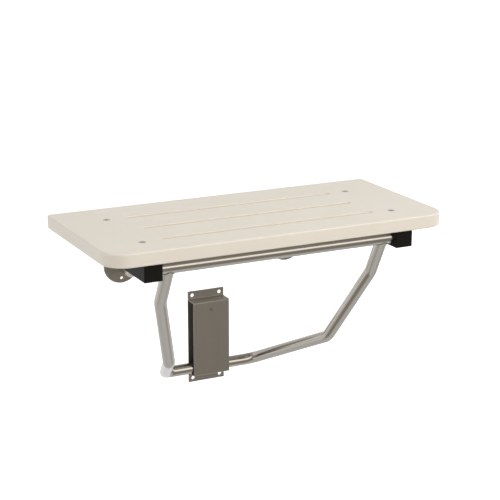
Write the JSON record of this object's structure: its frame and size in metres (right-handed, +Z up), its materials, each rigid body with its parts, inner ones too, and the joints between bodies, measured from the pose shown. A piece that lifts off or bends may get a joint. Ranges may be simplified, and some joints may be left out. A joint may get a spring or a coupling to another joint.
{
  "type": "folding shower seat",
  "caption": "Wall-mounted folding shower seat: grooved plastic board on black rails, steel arms, and a bent tube leg whose bar slides in a wall guide.",
  "frame": {"origin": "centre of the guide's back plate, on its rear face, which lies on the wall", "axes": "+Y into the wall, +Z up, +X along the wall to the right of a person who faces it; the seat stands out towards -Y"},
  "size_m": [0.752, 0.392, 0.4361],
  "materials": {
    "cream_plastic": "smooth cream plastic with a soft sheen",
    "black_nylon": "black moulded plastic, fine matt texture",
    "satin_tube": "polished-satin stainless tube",
    "satin_plate": "satin stainless plate and sheet",
    "plain_steel": "plain stainless fastener",
    "spring_steel": "bright spring steel"
  },
  "bodies": {
    "root": {"wall_flange_left": "satin_plate", "wall_flange_right": "satin_plate", "hinge_arm_left": "satin_tube", "hinge_arm_right": "satin_tube", "rear_tube": "satin_tube", "guide_back_plate": "satin_plate", "guide_cover": "satin_plate", "guide_spring": "spring_steel", "spring_rivet": "plain_steel"},
    "seat": {"seat_board": "cream_plastic", "rail_left": "black_nylon", "rail_right": "black_nylon", "seat_screw_front_left": "plain_steel", "seat_screw_front_right": "plain_steel", "seat_screw_rear_left": "plain_steel", "seat_screw_rear_right": "plain_steel", "seat_washer_front_left": "plain_steel", "seat_washer_front_right": "plain_steel", "seat_washer_rear_left": "plain_steel", "seat_washer_rear_right": "plain_steel", "seat_nut_front_left": "plain_steel", "seat_nut_front_right": "plain_steel", "seat_nut_rear_left": "plain_steel", "seat_nut_rear_right": "plain_steel"},
    "header": {"front_tube": "satin_tube"},
    "slider": {"guide_sleeve": "black_nylon"},
    "leg": {"leg_tube": "satin_tube"}
  },
  "joints": [
    {"name": "seat_fold", "type": "hinge", "parent": "root", "child": "seat", "pos_m": [0, -0.09, 0.28173], "axis": [-1, 0, 0], "range_deg": [0, 90]},
    {"name": "front_tube_turn", "type": "hinge", "parent": "seat", "child": "header", "pos_m": [0, -0.354, 0.28173], "axis": [-1, 0, 0], "range_deg": [-54.8, 0]},
    {"name": "bar_slide", "type": "slide", "parent": "root", "child": "slider", "axis": [0, 0, 1], "range_m": [0, 0.1329], "deforming": ["guide_spring"]},
    {"name": "leg_turn", "type": "hinge", "parent": "slider", "child": "leg", "pos_m": [0, -0.0153, -0.06855], "axis": [-1, 0, 0], "range_deg": [0, 35.3]}
  ],
  "couplings": [
    {"joint": "front_tube_turn", "follows": "seat_fold", "ratio": -0.60869},
    {"joint": "bar_slide", "follows": "seat_fold", "m_per_rad": 0.084536},
    {"joint": "leg_turn", "follows": "seat_fold", "ratio": 0.39132}
  ]
}
